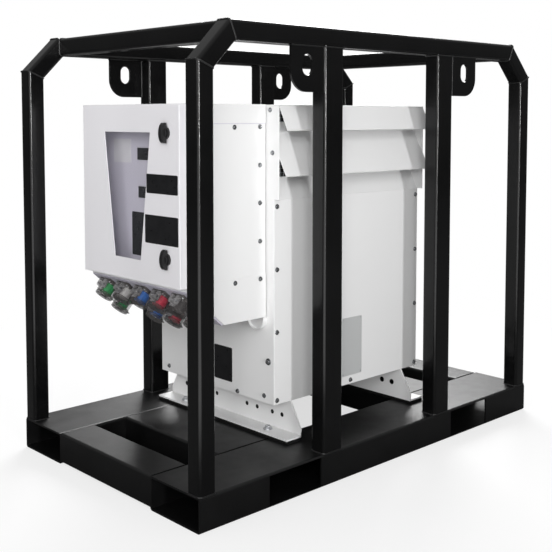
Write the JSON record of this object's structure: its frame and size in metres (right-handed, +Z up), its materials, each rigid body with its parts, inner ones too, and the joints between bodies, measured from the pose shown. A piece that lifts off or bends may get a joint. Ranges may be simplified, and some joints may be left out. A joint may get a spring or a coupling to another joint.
{
  "type": "power transformer",
  "caption": "Enclosed dry-type power transformer with vent hoods and a connector distribution box, bolted inside a tubular lifting frame on a fork skid.",
  "frame": {"origin": "bottom centre of the skid, on the ground", "axes": "X across the skid, Y along its length with the distribution door facing -Y, Z up"},
  "size_m": [0.95, 1.605, 1.393],
  "materials": {
    "frame_black": "semi-gloss black paint",
    "powder_white": "white powder coat",
    "door_grey": "pale grey powder coat",
    "plate_grey": "grey paint",
    "pad_rubber": "black rubber",
    "vent_screen": "dark perforated sheet",
    "hinge_zinc": "zinc plated",
    "window_pane": "clear pane",
    "latch_black": "black moulded plastic",
    "smoky_cap": "clear smoky plastic",
    "plug_green": "green plastic",
    "plug_white": "white plastic",
    "plug_blue": "blue plastic",
    "plug_red": "red plastic",
    "plug_black": "black plastic"
  },
  "bodies": {
    "frame": {"left_skid_rail": "frame_black", "right_skid_rail": "frame_black", "front_cross_member": "frame_black", "rear_cross_member": "frame_black", "front_fork_tube": "frame_black", "rear_fork_tube": "frame_black", "front_left_post": "frame_black", "front_right_post": "frame_black", "rear_left_post": "frame_black", "rear_right_post": "frame_black", "front_left_mid_post": "frame_black", "front_right_mid_post": "frame_black", "rear_left_mid_post": "frame_black", "rear_right_mid_post": "frame_black", "left_top_rail": "frame_black", "right_top_rail": "frame_black", "front_top_rail": "frame_black", "rear_top_rail": "frame_black", "corner_knees": "frame_black", "lifting_eyes": "frame_black", "front_foot": "powder_white", "rear_foot": "powder_white", "foot_pads": "pad_rubber", "enclosure_core": "powder_white", "upper_section": "powder_white", "front_end_panel": "powder_white", "rear_end_panel": "powder_white", "left_side_panel": "powder_white", "right_side_panel": "powder_white", "top_cover": "powder_white", "left_vent_hoods": "powder_white", "right_vent_hoods": "powder_white", "vent_screens": "vent_screen", "panel_box": "powder_white", "box_collar": "powder_white", "dead_front": "plate_grey", "connector_plate": "plate_grey", "ground_connectors": "plug_green", "neutral_connector": "plug_white", "blue_connectors": "plug_blue", "red_connectors": "plug_red", "black_connectors": "plug_black", "connector_caps": "smoky_cap", "cable_hub": "powder_white", "door_hinges": "hinge_zinc"},
    "door": {"panel_door": "door_grey", "door_window": "window_pane"},
    "upper_latch": {"upper_latch": "latch_black"},
    "lower_latch": {"lower_latch": "latch_black"}
  },
  "joints": [
    {"name": "door_swing", "type": "hinge", "parent": "frame", "child": "door", "pos_m": [-0.258, -0.667, 0.899], "axis": [0, 0, -1], "range_deg": [0, 115]},
    {"name": "upper_latch_turn", "type": "hinge", "parent": "door", "child": "upper_latch", "pos_m": [0.195, -0.697, 1.084], "axis": [0, -1, 0], "range_deg": [0, 90]},
    {"name": "lower_latch_turn", "type": "hinge", "parent": "door", "child": "lower_latch", "pos_m": [0.195, -0.697, 0.711], "axis": [0, -1, 0], "range_deg": [0, 90]}
  ]
}
